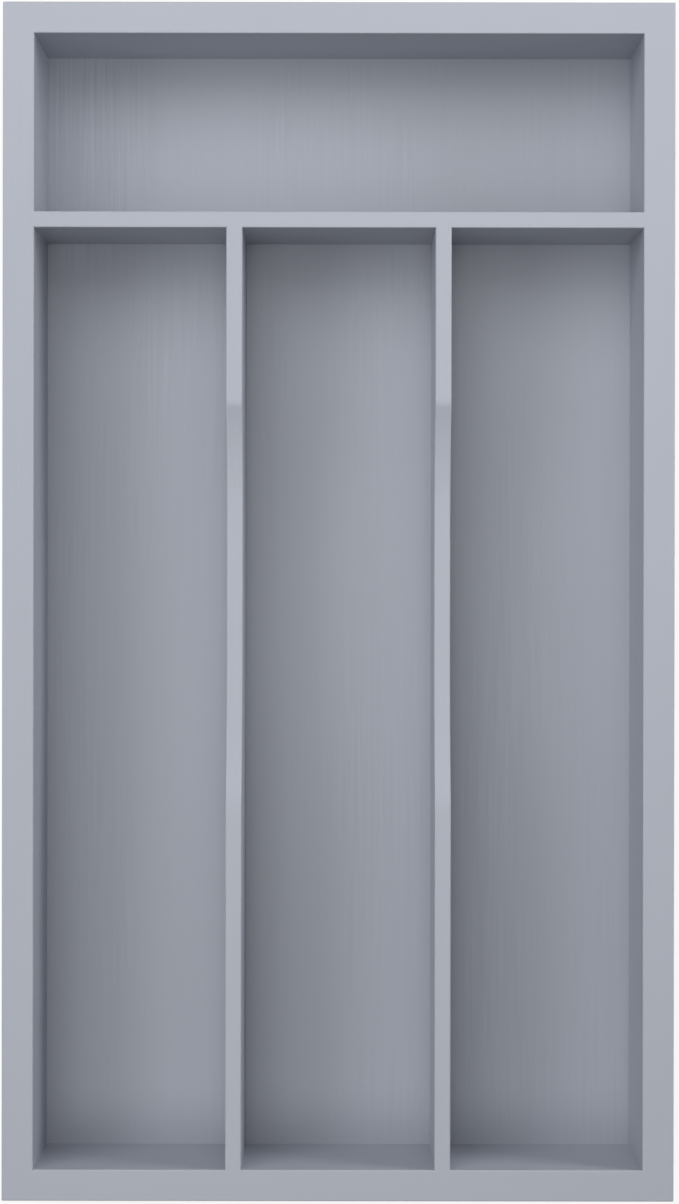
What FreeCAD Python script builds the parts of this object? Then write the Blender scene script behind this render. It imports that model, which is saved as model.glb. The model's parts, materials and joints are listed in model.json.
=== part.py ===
import FreeCAD, Part
import math
import os
from FreeCAD import Vector

# Cutlery tray for a kitchen drawer. A lacquered frame of four boards holds a thin base panel in a
# groove. A cross divider parts off the wide rear compartment, and two long dividers with a shallow
# scoop for the fingers part the rest into three. All lengths are in millimetres. X is the width,
# Y runs from the front to the rear, Z is up, and the origin is the centre of the underside.

# Overall size
tray_width = 265.0
tray_length = 472.6
tray_height = 55.0

# Thicknesses, each with its coat of lacquer
board_thickness = 12.4
divider_thickness = 6.4
panel_thickness = 4.0

# Compartments
rear_compartment_length = 70.1
middle_compartment_width = 76.1

# Base panel in its groove, bearing up against the groove's upper face
panel_recess = 3.0
groove_depth = 5.0
panel_edge_clearance = 0.5
panel_under_clearance = 0.1

# Scoop in the top edge of each long divider. Each end runs down to the level bottom in two arcs, a
# small one off the rim and a wide one, and the rear end is the steeper
scoop_length = 163.0
scoop_depth = 9.4
scoop_front_run = 70.0
scoop_front_radius = 30.0
scoop_rear_run = 50.0
scoop_rear_radius = 10.0
scoop_centre_from_front = 235.0

# Radius on every exposed edge of the frame and of the dividers
edge_radius = 0.5

# Stub tongues on the dividers' ends, in housings that stop short of the rim
tongue_thickness = 4.0
tongue_drop = 8.0
cross_tongue_depth = 4.0
long_tongue_front_depth = 4.0
long_tongue_rear_depth = 2.5
housing_side_clearance = 0.1
housing_end_clearance = 0.3

# Fluted dowels in the corners, two to a corner
dowel_diameter = 6.0
dowel_length = 30.0
dowel_depth_in_side = 9.0
dowel_drop = 15.0
dowel_rise = 17.0
dowel_chamfer = 0.8
dowel_clearance = 0.05
dowel_end_clearance = 0.6
flute_count = 10
flute_radius = 0.35

# Brads driven from beneath through the base panel into the dividers
brad_diameter = 1.2
brad_length = 18.0
brad_head_diameter = 2.0
brad_head_thickness = 0.6
brad_point_length = 1.8
brad_point_diameter = 0.2
brad_clearance = 0.05
brad_tip_clearance = 0.3
brad_end_inset = 28.0
cross_brad_count = 3
long_brad_count = 4

# Self-adhesive pads under the frame
pad_diameter = 10.0
pad_thickness = 1.0
pad_edge_radius = 0.3
pad_end_inset = 20.0

# How far a cutting shape runs past the face that it opens
overrun = 2.0

# Places that follow from the sizes
half_width = tray_width / 2
half_length = tray_length / 2
inner_half_width = half_width - board_thickness
inner_half_length = half_length - board_thickness
rim = tray_height
board_bottom = pad_thickness
panel_bottom = board_bottom + panel_recess
floor = panel_bottom + panel_thickness
cross_rear = inner_half_length - rear_compartment_length
cross_front = cross_rear - divider_thickness
cross_centre = (cross_rear + cross_front) / 2
long_centre = (middle_compartment_width + divider_thickness) / 2
long_inner = long_centre - divider_thickness / 2
long_outer = long_centre + divider_thickness / 2
tongue_top = rim - tongue_drop
scoop_centre = scoop_centre_from_front - half_length


def block(x_range, y_range, z_range):
    """A box between three pairs of planes."""
    size = [upper - lower for lower, upper in (x_range, y_range, z_range)]
    return Part.makeBox(*size, Vector(x_range[0], y_range[0], z_range[0]))


def mirrored(shape):
    """The same shape on the other side of the tray's middle plane."""
    return shape.mirror(Vector(0, 0, 0), Vector(1, 0, 0))


def compartments():
    """The X and Y ranges of the four compartments, the wide one at the rear first."""
    front_part = (-inner_half_length, cross_front)
    return [
        ((-inner_half_width, inner_half_width), (cross_rear, inner_half_length)),
        ((-inner_half_width, -long_outer), front_part),
        ((-long_inner, long_inner), front_part),
        ((long_outer, inner_half_width), front_part),
    ]


def scoop_cutter(x_range):
    """The shallow scoop: a level bottom between two curved ends that leave the rim at a tangent."""
    half = scoop_length / 2
    bottom = rim - scoop_depth

    def point(y, z):
        return Vector(x_range[0], scoop_centre + y, z)

    def end_arcs(side, run, rim_radius):
        """The arc off the rim and the wide one into the bottom, at the front (-1) or the rear (1)."""
        both_radii = (run ** 2 + scoop_depth ** 2) / (2 * scoop_depth)
        wide_radius = both_radii - rim_radius
        turn = math.asin(run / both_radii)

        def off_rim(angle):
            across = half - rim_radius * math.sin(angle)
            return point(side * across, rim - rim_radius * (1 - math.cos(angle)))

        def into_bottom(angle):
            across = half - run + wide_radius * math.sin(angle)
            return point(side * across, bottom + wide_radius * (1 - math.cos(angle)))

        small_arc = Part.Arc(off_rim(0), off_rim(turn / 2), off_rim(turn))
        wide_arc = Part.Arc(off_rim(turn), into_bottom(turn / 2), into_bottom(0))
        return [small_arc.toShape(), wide_arc.toShape()]

    level = Part.makeLine(point(scoop_front_run - half, bottom), point(half - scoop_rear_run, bottom))
    above = rim + overrun
    lid = Part.makePolygon([point(half, rim), point(half, above), point(-half, above), point(-half, rim)])
    front_arcs = end_arcs(-1, scoop_front_run, scoop_front_radius)
    rear_arcs = end_arcs(1, scoop_rear_run, scoop_rear_radius)
    outline = Part.Wire(front_arcs + [level] + rear_arcs[::-1] + lid.Edges)
    return Part.Face(outline).extrude(Vector(x_range[1] - x_range[0], 0, 0))


def is_inner_top_edge(edge):
    """True for an edge along the mouth of a compartment, scoops included."""
    near = 1e-4
    middle = edge.valueAt((edge.FirstParameter + edge.LastParameter) / 2)
    lowest = min(vertex.Z for vertex in edge.Vertexes)
    if lowest < rim - scoop_depth - near:
        return False
    for x_range, y_range in compartments():
        inside_x = x_range[0] - near < middle.x < x_range[1] + near
        inside_y = y_range[0] - near < middle.y < y_range[1] + near
        on_side = min(abs(middle.x - x) for x in x_range) < near
        on_end = min(abs(middle.y - y) for y in y_range) < near
        if inside_x and inside_y and (on_side or on_end):
            return True
    return False


def finished_body():
    """Frame and dividers as one glued and eased body, from which each board takes its outer form."""
    outside = block((-half_width, half_width), (-half_length, half_length), (board_bottom, rim))
    body = outside.makeFillet(edge_radius, outside.Edges)
    inner_x = (-inner_half_width, inner_half_width)
    inner_y = (-inner_half_length, inner_half_length)
    body = body.cut(block(inner_x, inner_y, (board_bottom - overrun, floor)))
    for x_range, y_range in compartments():
        body = body.cut(block(x_range, y_range, (floor - overrun, rim + overrun)))
    for x_range in ((-long_outer, -long_inner), (long_inner, long_outer)):
        body = body.cut(scoop_cutter(x_range))
    body = body.removeSplitter()
    return body.makeFillet(edge_radius, [edge for edge in body.Edges if is_inner_top_edge(edge)])


def panel_groove():
    """The groove for the base panel, cut into all four boards."""
    reach_x = inner_half_width + groove_depth
    reach_y = inner_half_length + groove_depth
    z_range = (panel_bottom - panel_under_clearance, floor)
    return block((-reach_x, reach_x), (-reach_y, reach_y), z_range)


def housing(face_x, face_y, direction, tongue_depth):
    """A slot milled up from the floor's level into a face, with the cutter's round end at its top."""
    width = tongue_thickness + 2 * housing_side_clearance
    depth = tongue_depth + housing_end_clearance
    along = Vector(*direction)
    slot = block((-overrun, depth), (-width / 2, width / 2), (floor - overrun, tongue_top))
    round_start = Vector(-overrun, 0, tongue_top)
    round_end = Part.makeCylinder(width / 2, depth + overrun, round_start, Vector(1, 0, 0))
    cutter = slot.fuse(round_end).removeSplitter()
    turn = math.degrees(math.atan2(along.y, along.x))
    cutter.rotate(Vector(0, 0, 0), Vector(0, 0, 1), turn)
    cutter.translate(Vector(face_x, face_y, 0))
    return cutter


def dowel_places():
    """Height of each dowel in a corner."""
    return [board_bottom + dowel_rise, rim - dowel_drop]


def dowel():
    """A fluted dowel along X, with its outer end at the origin."""
    radius = dowel_diameter / 2
    tip_radius = radius - dowel_chamfer
    along = Vector(1, 0, 0)
    straight = dowel_length - 2 * dowel_chamfer
    shank = Part.makeCylinder(radius, straight, Vector(dowel_chamfer, 0, 0), along)
    outer_end = Part.makeCone(tip_radius, radius, dowel_chamfer, Vector(0, 0, 0), along)
    inner_start = Vector(dowel_length - dowel_chamfer, 0, 0)
    inner_end = Part.makeCone(radius, tip_radius, dowel_chamfer, inner_start, along)
    body = shank.fuse([outer_end, inner_end]).removeSplitter()
    flutes = []
    for number in range(flute_count):
        angle = 2 * math.pi * number / flute_count
        start = Vector(-overrun, radius * math.cos(angle), radius * math.sin(angle))
        flutes.append(Part.makeCylinder(flute_radius, dowel_length + 2 * overrun, start, along))
    return body.cut(flutes)


def corner_dowels(side, end):
    """The two dowels of one corner. side is 1 at the right, end is 1 at the rear."""
    y = end * (half_length - board_thickness / 2)
    outer_x = inner_half_width + dowel_depth_in_side
    one = dowel()
    placed = []
    for z in dowel_places():
        copy = one.copy()
        copy.translate(Vector(-outer_x, y, z))
        placed.append(mirrored(copy) if side > 0 else copy)
    return Part.makeCompound(placed)


def dowel_holes(side, end):
    """Holes for one corner's dowels, drilled past both of their ends."""
    y = end * (half_length - board_thickness / 2)
    radius = dowel_diameter / 2 + dowel_clearance
    start_x = inner_half_width + dowel_depth_in_side + dowel_end_clearance
    length = dowel_length + 2 * dowel_end_clearance
    direction = Vector(-side, 0, 0)
    starts = [Vector(side * start_x, y, z) for z in dowel_places()]
    return [Part.makeCylinder(radius, length, start, direction) for start in starts]


def spread(count, start, end):
    """Evenly spaced places from start to end."""
    if count == 1:
        return [(start + end) / 2]
    return [start + (end - start) * number / (count - 1) for number in range(count)]


def cross_brad_places():
    """X and Y of the brads under the cross divider."""
    reach = inner_half_width - brad_end_inset
    return [(x, cross_centre) for x in spread(cross_brad_count, -reach, reach)]


def long_brad_places(side):
    """X and Y of the brads under one long divider."""
    front = -inner_half_length + brad_end_inset
    rear = cross_front - brad_end_inset
    return [(side * long_centre, y) for y in spread(long_brad_count, front, rear)]


def brads(places):
    """Brads with their heads flush in the underside of the base panel."""
    placed = []
    radius = brad_diameter / 2
    shank_length = brad_length - brad_point_length
    for x, y in places:
        head = Part.makeCylinder(brad_head_diameter / 2, brad_head_thickness, Vector(x, y, panel_bottom))
        shank = Part.makeCylinder(radius, shank_length, Vector(x, y, panel_bottom))
        point_start = Vector(x, y, panel_bottom + shank_length)
        point = Part.makeCone(radius, brad_point_diameter / 2, brad_point_length, point_start)
        placed.append(shank.fuse([head, point]).removeSplitter())
    return Part.makeCompound(placed)


def brad_holes(places):
    """The holes that the brads leave in the panel and the dividers."""
    holes = []
    shank_radius = brad_diameter / 2 + brad_clearance
    head_radius = brad_head_diameter / 2 + brad_clearance
    for x, y in places:
        start = Vector(x, y, panel_bottom)
        holes.append(Part.makeCylinder(shank_radius, brad_length + brad_tip_clearance, start))
        head_start = Vector(x, y, panel_bottom - overrun)
        holes.append(Part.makeCylinder(head_radius, brad_head_thickness + overrun, head_start))
    return holes


def side_board(body, side):
    """A side board over the full length, with groove, housing and dowel holes."""
    x_range = sorted((side * inner_half_width, side * (half_width + overrun)))
    reach_y = half_length + overrun
    blank = body.common(block(x_range, (-reach_y, reach_y), (board_bottom, rim)))
    cross_housing = housing(side * inner_half_width, cross_centre, (side, 0, 0), cross_tongue_depth)
    cutters = [panel_groove(), cross_housing] + dowel_holes(side, -1) + dowel_holes(side, 1)
    return blank.cut(cutters)


def end_board(body, end):
    """The front or rear board, butted between the side boards."""
    y_range = sorted((end * inner_half_length, end * (half_length + overrun)))
    blank = body.common(block((-inner_half_width, inner_half_width), y_range, (board_bottom, rim)))
    cutters = [panel_groove()] + dowel_holes(-1, end) + dowel_holes(1, end)
    if end < 0:
        for side in (-1, 1):
            place = side * long_centre
            cutters.append(housing(place, -inner_half_length, (0, -1, 0), long_tongue_front_depth))
    return blank.cut(cutters)


def base_panel():
    """The thin panel that is the floor of every compartment."""
    reach_x = inner_half_width + groove_depth - panel_edge_clearance
    reach_y = inner_half_length + groove_depth - panel_edge_clearance
    panel = block((-reach_x, reach_x), (-reach_y, reach_y), (panel_bottom, floor))
    places = cross_brad_places() + long_brad_places(-1) + long_brad_places(1)
    return panel.cut(brad_holes(places))


def cross_divider(body):
    """The divider between the rear compartment and the long ones, tongued into the side boards."""
    inner_x = (-inner_half_width, inner_half_width)
    blank = body.common(block(inner_x, (cross_front, cross_rear), (floor, rim)))
    reach = inner_half_width + cross_tongue_depth
    y_range = (cross_centre - tongue_thickness / 2, cross_centre + tongue_thickness / 2)
    tongue = block((-reach, reach), y_range, (floor, tongue_top))
    cutters = brad_holes(cross_brad_places())
    for side in (-1, 1):
        cutters.append(housing(side * long_centre, cross_front, (0, 1, 0), long_tongue_rear_depth))
    return blank.fuse(tongue).removeSplitter().cut(cutters)


def long_divider(body, side):
    """A scooped divider, tongued into the cross divider and the front board."""
    x_range = sorted((side * long_inner, side * long_outer))
    blank = body.common(block(x_range, (-inner_half_length, cross_front), (floor, rim)))
    half = tongue_thickness / 2
    tongue_x = (side * long_centre - half, side * long_centre + half)
    front_y = (-inner_half_length - long_tongue_front_depth, -inner_half_length)
    rear_y = (cross_front, cross_front + long_tongue_rear_depth)
    tongues = [block(tongue_x, y_range, (floor, tongue_top)) for y_range in (front_y, rear_y)]
    return blank.fuse(tongues).removeSplitter().cut(brad_holes(long_brad_places(side)))


def pad(x, y):
    """A round pad stuck to the frame's lower edge, its lower edge rounded."""
    disc = Part.makeCylinder(pad_diameter / 2, pad_thickness, Vector(x, y, 0))
    lower = [edge for edge in disc.Edges if edge.BoundBox.ZMax < pad_edge_radius]
    return disc.makeFillet(pad_edge_radius, lower)


def pads():
    """Six pads, in the middle of the side boards' thickness."""
    x = half_width - board_thickness / 2
    y = half_length - pad_end_inset
    placed = {}
    for side, side_name in ((-1, "left"), (1, "right")):
        for end, end_name in ((-1, "front"), (0, "middle"), (1, "rear")):
            placed[f"{end_name}_{side_name}_pad"] = pad(side * x, end * y)
    return placed


def build():
    """Every piece of the tray, by name."""
    body = finished_body()
    pieces = {
        "base_panel": base_panel(),
        "left_side_board": side_board(body, -1),
        "right_side_board": side_board(body, 1),
        "front_board": end_board(body, -1),
        "rear_board": end_board(body, 1),
        "cross_divider": cross_divider(body),
        "left_long_divider": long_divider(body, -1),
        "right_long_divider": long_divider(body, 1),
        "front_left_dowels": corner_dowels(-1, -1),
        "front_right_dowels": corner_dowels(1, -1),
        "rear_left_dowels": corner_dowels(-1, 1),
        "rear_right_dowels": corner_dowels(1, 1),
        "cross_divider_brads": brads(cross_brad_places()),
        "left_divider_brads": brads(long_brad_places(-1)),
        "right_divider_brads": brads(long_brad_places(1)),
    }
    pieces.update(pads())
    return pieces


os.makedirs("parts", exist_ok=True)
for name, shape in build().items():
    shape.exportStep(f"parts/{name}.step")
    print(f"{name}: {len(shape.Solids)} solids, {shape.Volume:.1f} mm3, valid {shape.isValid()}")
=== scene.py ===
# %% [markdown]
# A cutlery tray in grey lacquer
#
# This lesson dresses a wooden tray for a kitchen drawer: four boards round a thin panel, a cross
# divider and two long dividers with a shallow scoop for the fingers. The construction comes from a
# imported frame, in metres, and every size here is read from it or named once. The frame's own meshes
# could stay as they are, but boards that are glued up, eased and lacquered as one look best when
# they are also modelled as one, so that is what the lesson does.

# %% Load the frame
import json
import math

import bmesh
import bpy
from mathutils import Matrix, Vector

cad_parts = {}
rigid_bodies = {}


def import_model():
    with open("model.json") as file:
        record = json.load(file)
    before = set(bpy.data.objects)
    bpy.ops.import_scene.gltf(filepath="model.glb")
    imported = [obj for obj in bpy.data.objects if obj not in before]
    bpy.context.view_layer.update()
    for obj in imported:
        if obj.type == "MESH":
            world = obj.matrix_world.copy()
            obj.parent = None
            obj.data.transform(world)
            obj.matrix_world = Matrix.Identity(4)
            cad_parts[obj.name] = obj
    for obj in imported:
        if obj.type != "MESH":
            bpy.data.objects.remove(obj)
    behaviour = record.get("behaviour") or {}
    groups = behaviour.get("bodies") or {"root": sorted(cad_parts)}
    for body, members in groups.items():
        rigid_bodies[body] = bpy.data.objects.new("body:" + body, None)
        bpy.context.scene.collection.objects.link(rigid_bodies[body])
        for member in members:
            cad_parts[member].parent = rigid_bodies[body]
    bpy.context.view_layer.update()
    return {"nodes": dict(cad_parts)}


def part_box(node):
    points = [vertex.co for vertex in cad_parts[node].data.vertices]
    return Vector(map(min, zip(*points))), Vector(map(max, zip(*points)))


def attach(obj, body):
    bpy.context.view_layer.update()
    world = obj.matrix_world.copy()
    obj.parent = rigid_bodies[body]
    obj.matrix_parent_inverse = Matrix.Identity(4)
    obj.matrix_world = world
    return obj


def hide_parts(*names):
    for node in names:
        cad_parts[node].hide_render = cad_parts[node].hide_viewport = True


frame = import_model()
print("nodes in the frame:", len(frame["nodes"]))

# %% [markdown]
# The sizes
#
# A joiner marks out one board and takes the rest from it. The planes that the boards meet on are
# worked out the same way here, from the boxes of the frame's nodes, so that the new pieces lie
# exactly where the old ones did. Only what a box can't tell is named as a size of its own. NEAR is
# how far a point may lie beside a plane and still count as on it.

# %% Mark out the boards
MM = 0.001


def plane(node, axis, side):
    """Where a node ends on X, Y or Z (axis 0, 1 or 2), at its low or high side (0 or 1)."""
    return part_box(node)[side][axis]


HALF_WIDTH = plane("right_side_board", 0, 1)
HALF_LENGTH = plane("right_side_board", 1, 1)
INNER_X = plane("right_side_board", 0, 0)
INNER_Y = plane("rear_board", 1, 0)
RIM = plane("right_side_board", 2, 1)
BOARD_BOTTOM = plane("right_side_board", 2, 0)
PANEL_BOTTOM = plane("base_panel", 2, 0)
FLOOR = plane("base_panel", 2, 1)
CROSS_REAR = plane("cross_divider", 1, 1)
CROSS_FRONT = plane("cross_divider", 1, 0)
LONG_INNER = plane("right_long_divider", 0, 0)
LONG_OUTER = plane("right_long_divider", 0, 1)

EDGE_RADIUS = 0.5 * MM
SCOOP_LENGTH = 163 * MM
SCOOP_DEPTH = 9.4 * MM
SCOOP_CENTRE = 235 * MM - HALF_LENGTH
GROOVE_DEPTH = 5 * MM
PANEL_GAP = 0.1 * MM
NEAR = 0.01 * MM
CLOSE = 0.0005 * MM
board_mm = round((HALF_WIDTH - INNER_X) / MM, 2)
divider_mm = round((CROSS_REAR - CROSS_FRONT) / MM, 2)
print("boards", board_mm, "mm thick, dividers", divider_mm, "mm")

# %% [markdown]
# Tools for working by hand
#
# Each edit below is one a person makes in edit mode: choose some faces or edges, then press one
# key. An operator works on whatever is selected, so a helper first clears the selection and then
# picks by place or by direction, which is the scripted form of looking and clicking.


# %% Open and close a piece
def take(piece):
    """Makes a piece the only selected object, and the active one."""
    bpy.ops.object.select_all(action="DESELECT")
    piece.select_set(True)
    bpy.context.view_layer.objects.active = piece


def edit(piece):
    """Opens a piece in edit mode."""
    take(piece)
    bpy.ops.object.mode_set(mode="EDIT")


def done():
    """Back to object mode."""
    bpy.ops.object.mode_set(mode="OBJECT")


print("the frame is handed over in", bpy.context.mode.lower(), "mode")

# %% Pick faces, edges or points
SELECT_MODES = {"faces": "FACE", "edges": "EDGE", "verts": "VERT"}


def pick(kind, wanted):
    """Selects the faces, edges or verts of the open piece that a test wants, and counts them."""
    piece = bpy.context.object
    bpy.ops.mesh.select_mode(type=SELECT_MODES[kind])
    bpy.ops.mesh.select_all(action="DESELECT")
    mesh = bmesh.from_edit_mesh(piece.data)
    chosen = [item for item in getattr(mesh, kind) if wanted(item)]
    for item in chosen:
        item.select_set(True)
    mesh.select_flush_mode()
    bmesh.update_edit_mesh(piece.data)
    return len(chosen)


print("kinds to pick:", *SELECT_MODES)

# %% Tell by place or by direction
LEVEL = 0.9
UPRIGHT = 0.1


def middle(item):
    """Centre of a face, or of an edge."""
    if isinstance(item, bmesh.types.BMFace):
        return item.calc_center_median()
    return sum((vert.co for vert in item.verts), Vector()) / len(item.verts)


def is_at(value, *places):
    """True if a coordinate lies on one of these planes."""
    return any(abs(value - place) < NEAR for place in places)


def looks_up(face):
    """True for a face that is about level and seen from above."""
    return face.normal.z > LEVEL


def looks_down(face):
    """True for a face that is about level and seen from below."""
    return face.normal.z < -LEVEL


print("a face counts as level up to", round(math.degrees(math.acos(LEVEL))), "degrees")

# %% Slice and pull


def slice_at(axis, place):
    """Cuts the selected faces along a plane across X, Y or Z."""
    normal = [0, 0, 0]
    normal[axis] = 1
    point = [place * part for part in normal]
    bpy.ops.mesh.bisect(plane_co=point, plane_no=normal, threshold=CLOSE)


def pull_down(height):
    """Extrudes the selected faces straight down to a height."""
    mesh = bmesh.from_edit_mesh(bpy.context.object.data)
    start = next(face for face in mesh.faces if face.select).calc_center_median().z
    bpy.ops.mesh.extrude_region_move(TRANSFORM_OT_translate={"value": (0, 0, height - start)})


print("a slice runs through points that are nearer than", round(CLOSE / MM, 4), "mm")

# %% [markdown]
# The lattice of boards
#
# Seen from above, the boards and dividers are a flat lattice round four rectangular holes. It could
# be built board by board, but then every meeting of two boards is a chance for a step or a gap. A
# plane that is cut along the walls and loses four rectangles has them all flush from the start.

# %% Cut the lattice from one plane
WALLS_X = (-INNER_X, -LONG_OUTER, -LONG_INNER, LONG_INNER, LONG_OUTER, INNER_X)
WALLS_Y = (-INNER_Y, CROSS_FRONT, CROSS_REAR, INNER_Y)
OUTER_MIDDLE = (INNER_X + LONG_OUTER) / 2
MIDDLES_X = (-OUTER_MIDDLE, 0, OUTER_MIDDLE)
MIDDLES_Y = ((CROSS_FRONT - INNER_Y) / 2, (CROSS_REAR + INNER_Y) / 2)

bpy.ops.object.select_all(action="DESELECT")
bpy.ops.mesh.primitive_plane_add(size=1, location=(0, 0, RIM))
tray = bpy.context.object
tray.name = "tray_body"
tray.scale = (2 * HALF_WIDTH, 2 * HALF_LENGTH, 1)
bpy.ops.object.transform_apply(location=True, rotation=True, scale=True)

edit(tray)
for axis, places in ((0, WALLS_X + MIDDLES_X), (1, WALLS_Y + MIDDLES_Y)):
    for place in places:
        bpy.ops.mesh.select_all(action="SELECT")
        slice_at(axis, place)


def in_a_compartment(face):
    """True over one of the four holes."""
    x, y = abs(middle(face).x), middle(face).y
    at_the_rear = CROSS_REAR < y < INNER_Y and x < INNER_X
    in_front = -INNER_Y < y < CROSS_FRONT and (x < LONG_INNER or LONG_OUTER < x < INNER_X)
    return at_the_rear or in_front


holes = pick("faces", in_a_compartment)
bpy.ops.mesh.delete(type="FACE")
print("faces cut out for the four holes:", holes)

# %% [markdown]
# From lattice to boards
#
# The dividers stand on the panel and the frame reaches below it, so the lattice is pulled down in
# steps: all of it to the panel's upper face, then the frame alone past the panel and to its lower
# edge. The band between the two is exactly the groove's mouth. Pushed outwards with its offset kept
# even, it becomes a groove that turns the corners by itself, where four separate cuts would have
# to be matched there.

# %% Pull the lattice down and plough the groove


def is_frame(item):
    """True for a face or edge outside the inner walls."""
    centre = middle(item)
    return abs(centre.x) > INNER_X - NEAR or abs(centre.y) > INNER_Y - NEAR


bpy.ops.mesh.select_all(action="SELECT")
pull_down(FLOOR)
bpy.ops.mesh.select_all(action="SELECT")
bpy.ops.mesh.normals_make_consistent(inside=False)
for height in (PANEL_BOTTOM - PANEL_GAP, BOARD_BOTTOM):
    pick("faces", lambda face: looks_down(face) and is_frame(face))
    pull_down(height)


def in_groove_mouth(face):
    """True for the inner band of the frame that the panel's edge faces."""
    centre = middle(face)
    on_a_wall = is_at(abs(centre.x), INNER_X) or is_at(abs(centre.y), INNER_Y)
    return on_a_wall and PANEL_BOTTOM < centre.z < FLOOR


mouth = pick("faces", in_groove_mouth)
bpy.ops.mesh.extrude_region_shrink_fatten(
    TRANSFORM_OT_shrink_fatten={"value": -GROOVE_DEPTH, "use_even_offset": True}
)
print("faces in the groove's mouth:", mouth)

# %% [markdown]
# The seams on top
#
# Bevelling needs clean corners: a mitre forms where two edges of a compartment's mouth meet only if
# no other line on the top runs into that corner. The lines along the walls are therefore dissolved
# on the top, and the lines through the middle of each compartment stay, because a face in Blender
# can't have a hole in it.

# %% Dissolve the lines that run into the corners


def is_top_seam(edge):
    """True for a line along a wall that only crosses the flat top."""
    centre = middle(edge)
    along_y = is_at(abs(centre.x), INNER_X, LONG_INNER, LONG_OUTER)
    along_x = is_at(centre.y, *WALLS_Y)
    flat = all(looks_up(face) for face in edge.link_faces)
    return flat and (along_x or along_y) and is_at(centre.z, RIM)


seams = pick("edges", is_top_seam)
bpy.ops.mesh.dissolve_edges(use_verts=False)
print("lines dissolved on the top:", seams)

# %% [markdown]
# The scoops
#
# The top of each long divider dips so that fingers get under the cutlery. Each end of the dip runs
# down in two arcs, a small one off the rim and a wide one into the level bottom, and the rear end
# is the steeper. A boolean with such a profile would cut it too, but its edges would need mending
# before a bevel. So the dividers are sliced at stations, close together where the curve is tight,
# and then the points on top are moved down by the depth of the curve there. The slicing is finished
# first, because a slice through a top that already slopes would leave its points beside the curve.


# %% Describe the scoop's curve
class ScoopEnd:
    """One end of a scoop: how far it runs, and the radius of the small arc off the rim."""

    def __init__(self, run, rim_radius):
        both_radii = (run**2 + SCOOP_DEPTH**2) / (2 * SCOOP_DEPTH)
        self.run = run
        self.rim_radius = rim_radius
        self.wide_radius = both_radii - rim_radius
        self.turn = math.asin(run / both_radii)

    def depth(self, from_end):
        """Depth below the rim at a distance from the end."""
        if from_end < self.rim_radius * math.sin(self.turn):
            return self.rim_radius - math.sqrt(self.rim_radius**2 - from_end**2)
        to_bottom = self.run - from_end
        return SCOOP_DEPTH - self.wide_radius + math.sqrt(self.wide_radius**2 - to_bottom**2)


FRONT_END = ScoopEnd(run=70 * MM, rim_radius=30 * MM)
REAR_END = ScoopEnd(run=50 * MM, rim_radius=10 * MM)


def scoop_depth(y):
    """Depth of the scoop below the rim at a place along Y."""
    away = y - SCOOP_CENTRE
    end = REAR_END if away > 0 else FRONT_END
    from_end = SCOOP_LENGTH / 2 - abs(away)
    if from_end <= 0:
        return 0
    return end.depth(from_end) if from_end < end.run else SCOOP_DEPTH


for name, end in (("front", FRONT_END), ("rear", REAR_END)):
    print(name, "end of a scoop is", round(math.degrees(end.turn), 1), "degrees steep")

# %% Lower the long dividers along the curve
RIM_STEPS = 6
WIDE_STEPS = 18


def scoop_stations():
    """Places along Y where the curve gets a point: evenly turned steps on each arc."""
    places = []
    for side, end in ((-1, FRONT_END), (1, REAR_END)):
        small = [end.turn * step / RIM_STEPS for step in range(RIM_STEPS)]
        wide = [end.turn * step / WIDE_STEPS for step in range(WIDE_STEPS + 1)]
        from_ends = [end.rim_radius * math.sin(turn) for turn in small]
        from_ends += [end.run - end.wide_radius * math.sin(turn) for turn in wide]
        places += [SCOOP_CENTRE + side * (SCOOP_LENGTH / 2 - away) for away in from_ends]
    return sorted(places)


def is_long_divider(face):
    """True for every face of the two long dividers."""
    centre = middle(face)
    across = LONG_INNER - NEAR < abs(centre.x) < LONG_OUTER + NEAR
    return across and -INNER_Y < centre.y < CROSS_FRONT


def is_divider_top(vert, y):
    """True for a point on top of a long divider at a place along Y."""
    return is_at(vert.co.y, y) and is_at(vert.co.z, RIM) and abs(vert.co.x) < INNER_X / 2


stations = scoop_stations()
for y in stations:
    pick("faces", is_long_divider)
    slice_at(1, y)
for y in stations + [MIDDLES_Y[0]]:
    pick("verts", lambda vert: is_divider_top(vert, y))
    bpy.ops.transform.translate(value=(0, 0, -scoop_depth(y)))
print("stations along a scoop:", len(stations))
done()

# %% [markdown]
# Easing the edges
#
# After gluing up, a maker runs a sanding block along every edge that a hand can reach. In Blender
# one bevel does all of them together, and because the tray is still one body the eased edges meet
# in true mitres at the corners of each compartment. Bevelling finished boards one by one would
# leave a small tooth there. An exposed edge is easy to describe: a top on one side and a wall on
# the other, or the outline of the tray.

# %% Bevel the exposed edges
EDGE_STEPS = 4
QUARTER_ROUND = 0.5


def is_exposed(edge):
    """True for an edge that a sanding block reaches once the tray is glued up."""
    slopes = sorted(face.normal.z for face in edge.link_faces)
    centre = middle(edge)
    on_side = is_at(abs(centre.x), HALF_WIDTH)
    on_end = is_at(abs(centre.y), HALF_LENGTH)
    above = centre.z > RIM - SCOOP_DEPTH - NEAR
    top_meets_wall = above and slopes[-1] > LEVEL and abs(slopes[0]) < UPRIGHT
    underneath = is_at(centre.z, BOARD_BOTTOM) and (on_side or on_end)
    return top_meets_wall or underneath or (on_side and on_end)


edit(tray)
eased = pick("edges", is_exposed)
bpy.ops.mesh.bevel(
    offset=EDGE_RADIUS,
    segments=EDGE_STEPS,
    profile=QUARTER_ROUND,
    affect="EDGES",
    clamp_overlap=False,
)
print("edges eased:", eased)

# %% [markdown]
# Parting the boards
#
# On the real tray each board is a piece of its own, so the body is now parted along the seams where
# the boards meet. A boolean with a box for each board would struggle with faces that lie exactly on
# the box's sides. It is safer to slice only the few faces that run across a seam, then to separate
# the faces by place and close each opening with a flat face, as a sawn end would.


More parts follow.
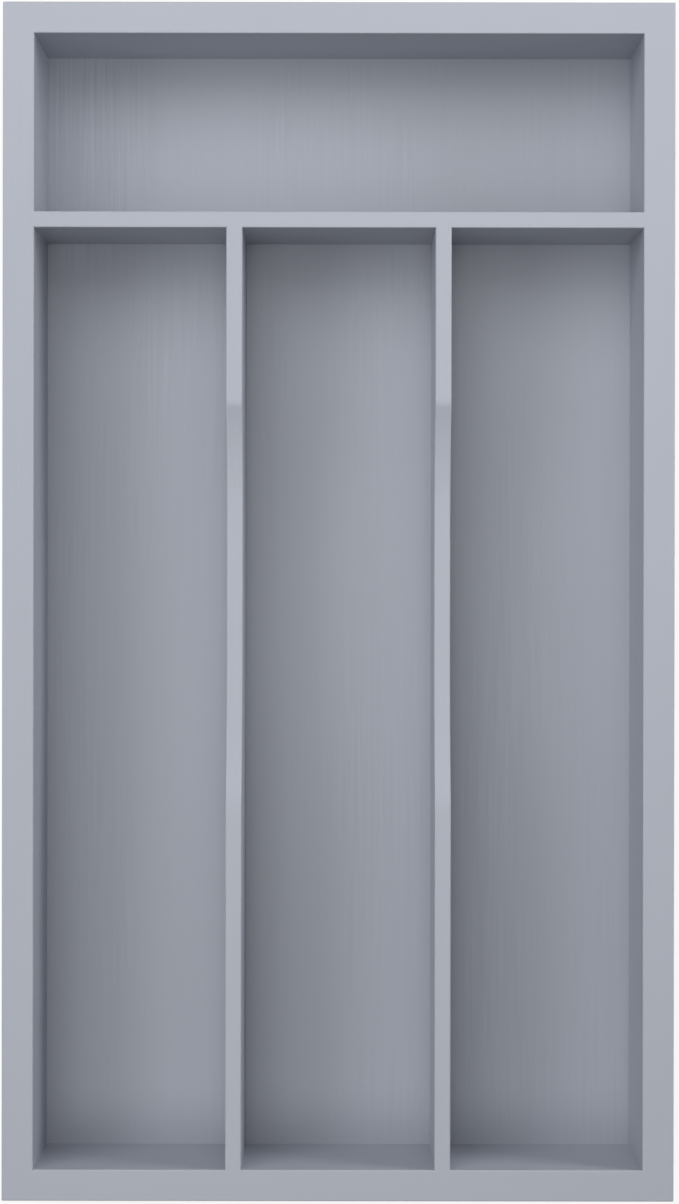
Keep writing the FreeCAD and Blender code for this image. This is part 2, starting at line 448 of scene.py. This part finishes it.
# %% Slice across the seams
def runs_across(face, axis, place):
    """True for a face with points on both sides of a plane."""
    values = [vert.co[axis] for vert in face.verts]
    return min(values) < place - NEAR and max(values) > place + NEAR


def is_inside(face):
    """True for a face that keeps clear of the side boards."""
    return all(abs(vert.co.x) < INNER_X - NEAR for vert in face.verts)


crossing = 0
for place in (-INNER_X, INNER_X):
    crossing += pick("faces", lambda face: runs_across(face, 0, place))
    slice_at(0, place)
for place in (-INNER_Y, CROSS_FRONT):
    crossing += pick("faces", lambda face: runs_across(face, 1, place) and is_inside(face))
    slice_at(1, place)
done()
print("faces sliced at the seams:", crossing)

# %% [markdown]
# Sawn ends
#
# A board that is separated from the body has an open hole in its skin at each end, and a flat face
# closes it. The pieces come off one after the other: the side boards first, because they run past
# all the others, then the end boards, then the cross divider, and the long dividers are what is
# left. That order keeps each test short, because it needs to look only at what hasn't gone yet.


# %% Tell which faces belong to which board
def belongs_to_side(side):
    """A test for the faces of the left (-1) or right (1) side board."""
    return lambda face: side * middle(face).x > INNER_X - NEAR


def belongs_to_end(end):
    """A test for the faces of the front (-1) or rear (1) board, once the side boards are gone."""
    return lambda face: end * middle(face).y > INNER_Y - NEAR


def belongs_to_cross(face):
    """True for the faces of the cross divider, once the side boards are gone."""
    return middle(face).y > CROSS_FRONT - NEAR


def belongs_to_long(side):
    """A test for the faces of one long divider, the last pieces left."""
    return lambda face: side * middle(face).x > 0


SEAM_ORDER = {
    "left_side_board": belongs_to_side(-1),
    "right_side_board": belongs_to_side(1),
    "front_board": belongs_to_end(-1),
    "rear_board": belongs_to_end(1),
    "cross_divider": belongs_to_cross,
    "left_long_divider": belongs_to_long(-1),
    "right_long_divider": belongs_to_long(1),
}
print("boards to part off:", len(SEAM_ORDER))

# %% Separate the boards and close their ends


def part_off(name, test):
    """Separates the faces that a test wants into a closed piece with a name."""
    edit(tray)
    count = pick("faces", test)
    before = set(bpy.data.objects)
    bpy.ops.mesh.separate(type="SELECTED")
    done()
    piece = (set(bpy.data.objects) - before).pop()
    piece.name = piece.data.name = name
    edit(piece)
    bpy.ops.mesh.select_all(action="SELECT")
    bpy.ops.mesh.fill_holes(sides=0)
    bpy.ops.mesh.select_all(action="SELECT")
    bpy.ops.mesh.normals_make_consistent(inside=False)
    done()
    print(name, "has", count, "faces and", len(piece.data.polygons) - count, "sawn ends")
    return piece


boards = {node: part_off(f"{node}_lacquered", test) for node, test in SEAM_ORDER.items()}
bpy.data.objects.remove(tray)

# %% [markdown]
# Tongues on the dividers
#
# A divider that only butts against a board would shear off, so each end has a stub tongue, shorter
# than the divider is high so that nothing shows from above. A tongue could be a block of its own
# pushed into the divider, but it is one piece with it in wood, so it is extruded out of the end.

# %% Extrude the tongues
TONGUE_THICKNESS = 4 * MM
TONGUE_TOP = RIM - 8 * MM
TONGUE_LENGTH = 4 * MM
SHORT_TONGUE_LENGTH = 2.5 * MM
CROSS_CENTRE = (CROSS_FRONT + CROSS_REAR) / 2
LONG_CENTRE = (LONG_INNER + LONG_OUTER) / 2


def add_tongue(piece, axis, end, centre, move):
    """Extrudes a stub tongue by a move along an axis out of the end face of a divider."""
    across = 1 - axis
    cheeks = (centre - TONGUE_THICKNESS / 2, centre + TONGUE_THICKNESS / 2)

    def is_on_end(face):
        return all(is_at(vert.co[axis], end) for vert in face.verts)

    def is_tongue_end(face):
        between_cheeks = is_at(middle(face)[across], centre)
        return is_on_end(face) and between_cheeks and middle(face).z < TONGUE_TOP

    edit(piece)
    for cut_axis, place in ((across, cheeks[0]), (across, cheeks[1]), (2, TONGUE_TOP)):
        pick("faces", is_on_end)
        slice_at(cut_axis, place)
    pick("faces", is_tongue_end)
    steps = [0, 0, 0]
    steps[axis] = move
    bpy.ops.mesh.extrude_region_move(TRANSFORM_OT_translate={"value": steps})
    done()


for side, node in ((-1, "left_long_divider"), (1, "right_long_divider")):
    add_tongue(boards["cross_divider"], 0, side * INNER_X, CROSS_CENTRE, side * TONGUE_LENGTH)
    add_tongue(boards[node], 1, -INNER_Y, side * LONG_CENTRE, -TONGUE_LENGTH)
    add_tongue(boards[node], 1, CROSS_FRONT, side * LONG_CENTRE, SHORT_TONGUE_LENGTH)
for node in ("cross_divider", "left_long_divider"):
    print(node, "is", round(max(boards[node].dimensions) / MM, 1), "mm long over its tongues")

# %% [markdown]
# Housings and dowel holes
#
# Where a tongue or a dowel goes in, the other board is cut away. Here a boolean is the right tool,
# because a cutter is a plain shape that runs clear of the board's faces: a drill for the dowels,
# and for a housing a slot with the round end that a router leaves.

# %% Carve with a cutter
ROUND_SIDES = 32


def add_rod(centre, radius, length, axis):
    """A cylinder along X or Y."""
    turn = (0, math.pi / 2, 0) if axis == 0 else (math.pi / 2, 0, 0)
    bpy.ops.mesh.primitive_cylinder_add(
        vertices=ROUND_SIDES, radius=radius, depth=length, location=centre, rotation=turn
    )
    return bpy.context.object


def carve(piece, cutter):
    """Cuts one shape out of a piece and throws the cutter away."""
    take(piece)
    cut = piece.modifiers.new("cut", "BOOLEAN")
    cut.operation = "DIFFERENCE"
    cut.solver = "EXACT"
    cut.object = cutter
    bpy.ops.object.modifier_apply(modifier=cut.name)
    bpy.data.objects.remove(cutter)


print("sides of a round cutter:", ROUND_SIDES)

# %% Cut the housings
SIDE_GAP = 0.1 * MM
END_GAP = 0.3 * MM
OVERRUN = 2 * MM
HOUSING_DEPTH = TONGUE_LENGTH + END_GAP
SHORT_HOUSING_DEPTH = SHORT_TONGUE_LENGTH + END_GAP


def cut_housing(piece, axis, face, centre, depth):
    """Routs a slot for a tongue into a face of a board, from below the floor to a round end."""
    reach = abs(depth) + OVERRUN
    place = [centre, centre]
    place[axis] = face + math.copysign(reach / 2 - OVERRUN, depth)
    size = [TONGUE_THICKNESS + 2 * SIDE_GAP] * 2
    size[axis] = reach
    bottom = FLOOR - OVERRUN
    bpy.ops.mesh.primitive_cube_add(size=1, location=(*place, (bottom + TONGUE_TOP) / 2))
    slot = bpy.context.object
    slot.scale = (*size, TONGUE_TOP - bottom)
    bpy.ops.object.transform_apply(location=True, rotation=True, scale=True)
    carve(piece, slot)
    carve(piece, add_rod((*place, TONGUE_TOP), TONGUE_THICKNESS / 2 + SIDE_GAP, reach, axis))


for side, node in ((-1, "left_side_board"), (1, "right_side_board")):
    centre = side * LONG_CENTRE
    cut_housing(boards[node], 0, side * INNER_X, CROSS_CENTRE, side * HOUSING_DEPTH)
    cut_housing(boards["front_board"], 1, -INNER_Y, centre, -HOUSING_DEPTH)
    cut_housing(boards["cross_divider"], 1, CROSS_FRONT, centre, SHORT_HOUSING_DEPTH)
print("housings are", round((TONGUE_TOP - FLOOR) / MM, 1), "mm high below their round ends")

# %% Drill for the dowels
DOWEL_HOLE_RADIUS = 3.05 * MM
DOWEL_HOLE_LENGTH = 31.2 * MM
DOWEL_IN_SIDE = 9.6 * MM
DOWEL_HEIGHTS = (BOARD_BOTTOM + 17 * MM, RIM - 15 * MM)

for side, node in ((-1, "left_side_board"), (1, "right_side_board")):
    for end, end_node in ((-1, "front_board"), (1, "rear_board")):
        x = side * (INNER_X + DOWEL_IN_SIDE - DOWEL_HOLE_LENGTH / 2)
        y = end * (HALF_LENGTH + INNER_Y) / 2
        for z in DOWEL_HEIGHTS:
            for board in (boards[node], boards[end_node]):
                carve(board, add_rod((x, y, z), DOWEL_HOLE_RADIUS, DOWEL_HOLE_LENGTH, 0))
print("front board now has", len(boards["front_board"].data.polygons), "faces")

# %% [markdown]
# Holes for the brads
#
# The dividers are also pinned from beneath with thin brads, and the frame already has those, as
# well as the panel with its holes. The new dividers need the same holes, or the steel would lie
# inside solid wood.

# %% Drill the brad holes
BRAD_HOLE_RADIUS = 0.65 * MM
BRAD_HOLE_TOP = PANEL_BOTTOM + 18.3 * MM
BRAD_INSET = 28 * MM
BRAD_SIDES = 12
CROSS_BRADS = 3
LONG_BRADS = 4


def spread(count, low, high):
    """Evenly spaced places from low to high."""
    return [low + (high - low) * step / (count - 1) for step in range(count)]


def drill_from_beneath(piece, places):
    """Drills a brad hole up into a divider at each place."""
    for x, y in places:
        bpy.ops.mesh.primitive_cylinder_add(
            vertices=BRAD_SIDES,
            radius=BRAD_HOLE_RADIUS,
            depth=BRAD_HOLE_TOP - PANEL_BOTTOM,
            location=(x, y, (BRAD_HOLE_TOP + PANEL_BOTTOM) / 2),
        )
        carve(piece, bpy.context.object)


columns = spread(CROSS_BRADS, BRAD_INSET - INNER_X, INNER_X - BRAD_INSET)
rows = spread(LONG_BRADS, BRAD_INSET - INNER_Y, CROSS_FRONT - BRAD_INSET)
drill_from_beneath(boards["cross_divider"], [(x, CROSS_CENTRE) for x in columns])
for side, node in ((-1, "left_long_divider"), (1, "right_long_divider")):
    drill_from_beneath(boards[node], [(side * LONG_CENTRE, y) for y in rows])
print("brad holes drilled:", CROSS_BRADS + 2 * LONG_BRADS)

# %% [markdown]
# Smooth edges on flat boards
#
# The eased edges and the scoops should shade as curves and the boards as planes. Shading smooth by
# angle alone would bend the light across the whole of a wide flat face, so a weighted normal
# modifier follows it: the large faces keep their own direction and the narrow strips turn to it.

# %% Shade the boards
SMOOTH_ANGLE = math.radians(30)
ONLY_THE_LARGEST = 100

for piece in boards.values():
    take(piece)
    bpy.ops.object.shade_smooth_by_angle(angle=SMOOTH_ANGLE)
    weigh = piece.modifiers.new("weigh", "WEIGHTED_NORMAL")
    weigh.keep_sharp = True
    weigh.weight = ONLY_THE_LARGEST
    bpy.ops.object.modifier_apply(modifier=weigh.name)
print("boards shaded:", len(boards))

# %% [markdown]
# Pads under the frame
#
# Six small pads keep the tray from sliding in the drawer. Each is turned from a disc: the lower
# edge is rounded with a bevel, and the sole is dished a little so that it holds by its rim. One pad
# is made and the others are copies of it, each with a mesh of its own.

# %% Model one pad and copy it
PAD_RADIUS = 5 * MM
PAD_SIDES = 48
PAD_EDGE = 0.3 * MM
PAD_SOLE_RIM = 0.7 * MM
PAD_DISH_SLOPE = 0.4 * MM
PAD_DISH = 0.15 * MM


def make_pad(name, low, high):
    """A round pad that fills a box of the frame, with a rounded lower edge and a dished sole."""
    centre = (low + high) / 2
    bpy.ops.object.select_all(action="DESELECT")
    bpy.ops.mesh.primitive_cylinder_add(
        vertices=PAD_SIDES, radius=PAD_RADIUS, depth=high.z - low.z, location=centre
    )
    pad = bpy.context.object
    pad.name = pad.data.name = name
    bpy.ops.object.transform_apply(location=True, rotation=True, scale=True)
    edit(pad)
    pick("edges", lambda edge: is_at(middle(edge).z, low.z))
    bpy.ops.mesh.bevel(
        offset=PAD_EDGE, segments=EDGE_STEPS, profile=QUARTER_ROUND, affect="EDGES"
    )
    pick("faces", lambda face: looks_down(face) and is_at(middle(face).z, low.z))
    bpy.ops.mesh.inset(thickness=PAD_SOLE_RIM, depth=0)
    bpy.ops.mesh.inset(thickness=PAD_DISH_SLOPE, depth=-PAD_DISH)
    done()
    bpy.ops.object.shade_smooth_by_angle(angle=SMOOTH_ANGLE)
    return pad


PAD_ROWS = ("front", "middle", "rear")
PAD_NODES = [f"{row}_{side}_pad" for row in PAD_ROWS for side in ("left", "right")]
first = make_pad("front_left_pad_turned", *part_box("front_left_pad"))
pads = {"front_left_pad": first}
for node in PAD_NODES[1:]:
    take(first)
    bpy.ops.object.duplicate()
    pad = bpy.context.object
    pad.name = pad.data.name = f"{node}_turned"
    pad.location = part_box(node)[0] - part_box("front_left_pad")[0]
    bpy.ops.object.transform_apply(location=True, rotation=False, scale=False)
    pads[node] = pad
print("pads:", len(pads))

# %% [markdown]
# Nodes as sums
#
# A material reads best as arithmetic: the grey is this much lighter where the grain is that much
# denser. Wiring every sum by hand buries that, so a socket gets operators here, and an expression
# in Python builds the nodes behind it. All other nodes come from one method, with names for those
# that are used often. A mix of colours has sockets for numbers and vectors under the same names, so
# its colour sockets are told by number.


# %% Sockets with operators
class Socket:
    """One output of a node, which adds and multiplies like a number."""

    def __init__(self, nodes, socket):
        self.nodes = nodes
        self.socket = socket

    def math(self, operation, first, second):
        """A Math node over two values."""
        return self.nodes.add("ShaderNodeMath", {"operation": operation}, {0: first, 1: second})

    def __add__(self, other):
        return self.math("ADD", self, other)

    def __radd__(self, other):
        return self.math("ADD", other, self)

    def __sub__(self, other):
        return self.math("SUBTRACT", self, other)

    def __rsub__(self, other):
        return self.math("SUBTRACT", other, self)

    def __mul__(self, other):
        return self.math("MULTIPLY", self, other)

    def __rmul__(self, other):
        return self.math("MULTIPLY", other, self)

    def __pow__(self, other):
        return self.math("POWER", self, other)


print("a socket can now be used with + - * and **")

# %% A tree of nodes
MIX_SOCKETS = {"factor": 0, "first": 6, "second": 7, "result": 2}


class Nodes:
    """The node tree of a material or a world."""

    def __init__(self, owner):
        owner.use_nodes = True
        self.tree = owner.node_tree

    def put(self, target, value):
        """Links a socket to a target, or sets the target to a plain value."""
        if isinstance(value, Socket):
            self.tree.links.new(value.socket, target)
        else:
            target.default_value = value

    def add(self, kind, settings=None, inputs=None, output=0):
        """Any node: its settings first, then its inputs. Gives back one of its outputs."""
        node = self.tree.nodes.new(kind)
        for setting, value in (settings or {}).items():
            setattr(node, setting, value)
        for key, value in (inputs or {}).items():
            self.put(node.inputs[key], value)
        return Socket(self, node.outputs[output])

    def surface(self, **inputs):
        """Sets the inputs of the shader. A space in an input's name is written as an underscore."""
        shader = self.tree.nodes["Principled BSDF"]
        for key, value in inputs.items():
            self.put(shader.inputs[key.replace("_", " ")], value)

    def place(self):
        """The place on the piece, in metres."""
        return self.add("ShaderNodeTexCoord", output="Object")

    def drawn_out(self, scale):
        """The place with X, Y and Z each drawn out, so that a noise on it is longer that way."""
        return self.add("ShaderNodeMapping", inputs={"Vector": self.place(), "Scale": scale})

    def along(self, axis):
        """The place on X (0), Y (1) or Z (2), in metres."""
        return self.add("ShaderNodeSeparateXYZ", inputs={"Vector": self.place()}, output=axis)

    def away(self):
        """The distance from the middle, in metres."""
        length = {"operation": "LENGTH"}
        return self.add("ShaderNodeVectorMath", length, {0: self.place()}, output="Value")

    def noise(self, place, scale, detail=2.0):
        """A noise around a half, with scale blots to the metre."""
        settings = {"Vector": place, "Scale": scale, "Detail": detail}
        return self.add("ShaderNodeTexNoise", inputs=settings)

    def rise(self, value, start, stop):
        """0 up to one value and 1 from another on, with a soft rise between."""
        soft = {"interpolation_type": "SMOOTHSTEP"}
        ends = {"From Min": start, "From Max": stop}
        return self.add("ShaderNodeMapRange", soft, {"Value": value, **ends})

    def between(self, factor, first, second):
        """A colour between two others."""
        inputs = {
            MIX_SOCKETS["factor"]: factor,
            MIX_SOCKETS["first"]: (*first, 1),
            MIX_SOCKETS["second"]: (*second, 1),
        }
        colours = {"data_type": "RGBA"}
        return self.add("ShaderNodeMix", colours, inputs, output=MIX_SOCKETS["result"])

    def bump(self, height, distance):
        """A normal for a height from 0 to 1 that stands for a distance in metres."""
        return self.add("ShaderNodeBump", inputs={"Height": height, "Distance": distance})


print("a colour mix is wired by number:", MIX_SOCKETS)

# %% [markdown]
# Grey lacquer over wood
#
# The lacquer hides the wood's colour but not all of its figure. Fine streaks run along each board.
# They show most on the panel, in some places more than in others, and are clearest at the left end
# of the rear compartment. There the panel is also painted lighter: painted light that lifts the
# shade at the foot of the left wall. A flat grey would look like plastic, and a wood texture would
# show far too much. So a noise is drawn out along the board until its blots are streaks, and a
# second, wider one says how strongly they show. The same streaks are a little duller or glossier,
# and a fine stipple stands for the sprayed surface.

# %% Choose the greys and the size of the figure
BOARD_GREY = (0.380, 0.401, 0.458)
PANEL_GREY = (0.325, 0.346, 0.397)
GREY_SPAN = 0.2
DULLNESS = 0.4
HALFWAY = 0.5

STREAKS_TO_THE_METRE = 900
STREAK_DRAWN_OUT = 0.02
STREAK_DULLNESS = 0.1
PATCHES_TO_THE_METRE = 22
PATCH_DRAWN_OUT = 0.3
PATCH_SHARPNESS = 4
PATCH_STRENGTH = 20
BETWEEN_PATCHES = 0.5
CLOUDS_TO_THE_METRE = 12
CLOUD_STRENGTH = 0.1
CLOUD_DULLNESS = 0.06
STIPPLE_TO_THE_METRE = 2500
STIPPLE_HEIGHT = 0.01 * MM


def drawn_along(axis, share):
    """A scale that draws a pattern out along one axis."""
    scale = [1, 1, 1]
    scale[axis] = share
    return scale


print("a streak is", round(1 / STREAK_DRAWN_OUT), "times as long as it is wide")

# %% Mix the lacquer
# The rear compartment's left end, where the panel's streaks are stronger and painted light lifts the
# shade of the left wall.
REAR_LEFT_X = (-0.075, -0.100)
REAR_LEFT_Y = (0.130, 0.150)
PAINTED_LIGHT_AT_REAR_LEFT = 0.15


def lacquer(name, grey, axis, figure, rear_left_grain_and_light=0.0):
    """Satin lacquer streaked along X (0) or Y (1); at the panel's rear left, stronger streaks and
    painted light.
    """
    material = bpy.data.materials.new(name)
    nodes = Nodes(material)
    fine = nodes.drawn_out(drawn_along(axis, STREAK_DRAWN_OUT))
    wide = nodes.drawn_out(drawn_along(axis, PATCH_DRAWN_OUT))
    streaks = nodes.noise(fine, STREAKS_TO_THE_METRE, detail=3) - HALFWAY
    patches = nodes.noise(wide, PATCHES_TO_THE_METRE) ** PATCH_SHARPNESS
    shows = patches * PATCH_STRENGTH + BETWEEN_PATCHES
    clouds = nodes.noise(nodes.place(), CLOUDS_TO_THE_METRE) - HALFWAY
    stipple = nodes.noise(nodes.place(), STIPPLE_TO_THE_METRE)
    lightness = streaks * shows * figure + clouds * CLOUD_STRENGTH + HALFWAY
    # Painted light: the panel is lighter at the foot of the rear compartment's left wall, where shade
    # falls; its streaks there are grain.
    if rear_left_grain_and_light:
        end = nodes.rise(nodes.along(0), *REAR_LEFT_X) * nodes.rise(nodes.along(1), *REAR_LEFT_Y)
        lightness = lightness + end * (streaks * rear_left_grain_and_light + PAINTED_LIGHT_AT_REAR_LEFT)
    darker = [part * (1 - GREY_SPAN) for part in grey]
    lighter = [part * (1 + GREY_SPAN) for part in grey]
    nodes.surface(
        Base_Color=nodes.between(lightness, darker, lighter),
        Roughness=streaks * STREAK_DULLNESS + clouds * CLOUD_DULLNESS + DULLNESS,
        Normal=nodes.bump(stipple, STIPPLE_HEIGHT),
    )
    return material


LACQUER_ALONG_X = lacquer("lacquer_across_the_tray", BOARD_GREY, axis=0, figure=0.06)
LACQUER_ALONG_Y = lacquer("lacquer_along_the_tray", BOARD_GREY, axis=1, figure=0.06)
LACQUER_ON_PANEL = lacquer("lacquer_on_the_panel", PANEL_GREY, axis=1, figure=0.12, rear_left_grain_and_light=0.8)
print("lacquers:", LACQUER_ALONG_X.name, LACQUER_ALONG_Y.name, LACQUER_ON_PANEL.name)

# %% [markdown]
# Beech, steel and rubber
#
# These are the pieces that a buyer never sees, but a model is also turned over and taken apart. The
# dowels show beech with its fine pores along the grain, the brads drawn wire with faint rings, and
# the pads a dull rubber. Each is one noise on its own scale and a narrow span of colour.


# %% Mix beech, steel and rubber
PLAIN_BUMP = 0.02 * MM
PLAIN_DULLNESS_SPAN = 0.2


def plain_stuff(name, drawn, blots, colours, dullness, **others):
    """A material of one noise: it goes between two colours and spreads the dullness a little."""
    material = bpy.data.materials.new(name)
    nodes = Nodes(material)
    pattern = nodes.noise(nodes.drawn_out(drawn), blots, detail=4)
    nodes.surface(
        Base_Color=nodes.between(pattern, *colours),
        Roughness=(pattern - HALFWAY) * PLAIN_DULLNESS_SPAN + dullness,
        Normal=nodes.bump(pattern, PLAIN_BUMP),
        **others,
    )
    return material


BEECH = plain_stuff(
    "beech_of_the_dowels",
    drawn=(0.05, 1, 1),
    blots=900,
    colours=((0.50, 0.34, 0.20), (0.78, 0.60, 0.40)),
    dullness=0.6,
)
STEEL = plain_stuff(
    "steel_of_the_brads",
    drawn=(0.1, 0.1, 1),
    blots=6000,
    colours=((0.50, 0.50, 0.51), (0.60, 0.60, 0.61)),
    dullness=0.35,
    Metallic=1.0,
)
RUBBER = plain_stuff(
    "rubber_of_the_pads",
    drawn=(1, 1, 1),
    blots=3000,
    colours=((0.07, 0.07, 0.075), (0.11, 0.11, 0.115)),
    dullness=0.8,
)
print("hidden pieces:", BEECH.name, STEEL.name, RUBBER.name)

# %% [markdown]
# Finishing each piece
#
# Every new piece stands for a node of the frame, which is then no longer shown. The panel, the
# dowels and the brads are right as they are, so they stay and only get a better material.

# %% Coat the pieces and tell the frame
LIES_ACROSS = ("front_board", "rear_board", "cross_divider")
CARRIED_OVER = {"base_panel": LACQUER_ON_PANEL, "dowels": BEECH, "brads": STEEL}


def coat(piece, material):
    """Puts one material on the whole of a new piece."""
    piece.data.materials.clear()
    piece.data.materials.append(material)


def stand_for(piece, node, slot):
    """Tells the frame that a new piece moves with the tray and shows instead of a node."""
    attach(piece, "root")
    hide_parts(node)


for node, piece in boards.items():
    coat(piece, LACQUER_ALONG_X if node in LIES_ACROSS else LACQUER_ALONG_Y)
    stand_for(piece, node, "divider_lacquer" if "divider" in node else "frame_lacquer")
for node, piece in pads.items():
    coat(piece, RUBBER)
    stand_for(piece, node, "pad_rubber")
for node, piece in frame["nodes"].items():
    for ending, material in CARRIED_OVER.items():
        if node.endswith(ending):
            for slot in piece.material_slots:
                slot.material = material
print("new pieces:", len(boards) + len(pads))

# %% [markdown]
# Where the camera stands
#
# The photograph looks straight down from about a metre. A camera exactly over the middle would show
# all four inner walls equally, so the small offsets and tilts below matter: they were found from
# the directions of the tray's edges, and they put the edges within a pixel of the photograph's.

# %% Camera
CAMERA_PLACE = (0.000015, 0.002327, 1.040790)
CAMERA_TURN = (-0.002375, -0.000406, 0.001552)
SENSOR_WIDTH = 36
FOCAL_LENGTH = 74.82

camera = bpy.data.objects.new("camera", bpy.data.cameras.new("camera"))
bpy.context.collection.objects.link(camera)
camera.location = CAMERA_PLACE
camera.rotation_euler = CAMERA_TURN
camera.data.sensor_width = SENSOR_WIDTH
camera.data.lens = FOCAL_LENGTH
bpy.context.scene.camera = camera
print("the camera is", round(camera.location.z, 2), "m above the drawer's bottom")

# %% [markdown]
# A white studio
#
# The tray stands on a pale floor. The photograph's ground is white to the edge, and more light
# would only wash out the grey, so the ground is made white where it is looked at: rays from the
# camera, and those that come by way of a reflection, see mostly white, and all other light falls on
# an ordinary pale floor. Near the tray part of the floor's own shading is kept, and with it the
# tray's shadow. Further out, where the lamps no longer reach, the white takes over.

# %% Floor
GROUND_SIZE = 60
GROUND_PALE = ((0.84, 0.84, 0.84), (0.88, 0.88, 0.88))
GROUND_BLOTS_TO_THE_METRE = 3
GROUND_ROUGHNESS = 0.9
GROUND_WHITE = 0.85
SHADED_GROUND = (0.6, 2.5)
LOOKING_RAYS = ("Camera", "Glossy", "Transmission")


def looked_at(nodes):
    """1 for rays from the camera, also by reflection or through glass, and 0 for all others."""
    rays = [nodes.add("ShaderNodeLightPath", output=f"Is {kind} Ray") for kind in LOOKING_RAYS]
    return nodes.add("ShaderNodeClamp", inputs={"Value": rays[0] + rays[1] + rays[2]})


bpy.ops.object.select_all(action="DESELECT")
bpy.ops.mesh.primitive_plane_add(size=GROUND_SIZE, location=(0, 0, 0))
floor = bpy.context.object
floor.name = floor.data.name = "studio_floor"
coat(floor, bpy.data.materials.new("pale_studio_floor"))
ground = Nodes(floor.active_material)
blots = ground.noise(ground.place(), GROUND_BLOTS_TO_THE_METRE)
ground.surface(Base_Color=ground.between(blots, *GROUND_PALE), Roughness=GROUND_ROUGHNESS)
shaded = Socket(ground, ground.tree.nodes["Principled BSDF"].outputs[0])
white = ground.add("ShaderNodeEmission", inputs={"Color": (1, 1, 1, 1), "Strength": 1})
far = ground.rise(ground.away(), *SHADED_GROUND)
share = looked_at(ground) * (far * (1 - GROUND_WHITE) + GROUND_WHITE)
shown = ground.add("ShaderNodeMixShader", inputs={0: share, 1: shaded, 2: white})
ground.put(ground.tree.nodes["Material Output"].inputs["Surface"], shown)
print("the floor is white from", SHADED_GROUND[1], "m out")

# %% [markdown]
# An even sky
#
# A room's walls and ceiling throw a little light back from everywhere. A full model of a room would
# do that too, but an even and dim world does it at no cost, and it keeps the deepest corners of the
# compartments from going black.

# %% Sky
SKY_LEVEL = 0.1

world = bpy.data.worlds.new("studio")
bpy.context.scene.world = world
sky = Nodes(world)
background = sky.tree.nodes["Background"]
sky.put(background.inputs["Color"], (1, 1, 1, 1))
sky.put(background.inputs["Strength"], SKY_LEVEL)
print("the sky gives", SKY_LEVEL, "of full light")

# %% [markdown]
# The light
#
# The photograph's shadows tell where its light came from. The floor is darkest at the foot of the
# rear walls and of the left ones, so two wide and strong lamps stand behind the tray and to its
# left. The faces that look to the right are lit as well, so two lamps stand low on that side. Two
# near ones, above and behind, make the rear brighter than the front. One high in front keeps the
# faces that look forwards from going black, and one overhead lights the tops of the boards. Each
# lamp's level is the share of full light that it gives to a surface facing it. On a level surface
# they come to about one together, so that a colour renders about as it is written.

# %% Lamps
LAMP_AIM = Vector((0, 0, 0.03))
LAMP_COLUMNS = ("height", "turn", "distance", "wide", "deep", "level")
LAMPS = {
    "overhead": (90, 90, 1.7, 0.5, 0.5, 0.103),
    "wide_behind_left": (50, 135, 1.8, 1.5, 1.0, 0.319),
    "high_left": (42, 180, 1.8, 1.2, 0.9, 0.242),
    "near_behind": (50, 90, 0.9, 0.6, 0.5, 0.166),
    "near_overhead": (68, 60, 0.9, 0.45, 0.45, 0.088),
    "near_low_right": (16, 30, 0.9, 0.6, 0.3, 0.327),
    "low_right": (22, 0, 1.8, 1.2, 0.6, 0.207),
    "high_in_front": (68, 255, 1.8, 1.2, 0.9, 0.141),
}


def add_lamp(name, height, turn, distance, wide, deep, level):
    """An area lamp that looks at the tray. Gives back its share of light on a level surface."""
    lamp = bpy.data.objects.new(name, bpy.data.lights.new(name, "AREA"))
    bpy.context.collection.objects.link(lamp)
    height, turn = math.radians(height), math.radians(turn)
    level_part = math.cos(height)
    towards = Vector((level_part * math.cos(turn), level_part * math.sin(turn), math.sin(height)))
    lamp.location = LAMP_AIM + towards * distance
    lamp.rotation_euler = towards.to_track_quat("Z", "Y").to_euler()
    lamp.data.shape = "ELLIPSE"
    lamp.data.size = wide
    lamp.data.size_y = deep
    lamp.data.energy = level * (math.pi * distance) ** 2
    return level * math.sin(height)


shares = [add_lamp(name, **dict(zip(LAMP_COLUMNS, row))) for name, row in LAMPS.items()]
print("lamps:", len(LAMPS), "which give", round(sum(shares), 2), "of full light from above")

# %% [markdown]
# Plain colour
#
# The view transform is the plain one, so that a colour comes out as it was written.

# %% Colour as written
bpy.context.scene.view_settings.view_transform = "Standard"
print("view transform:", bpy.context.scene.view_settings.view_transform)
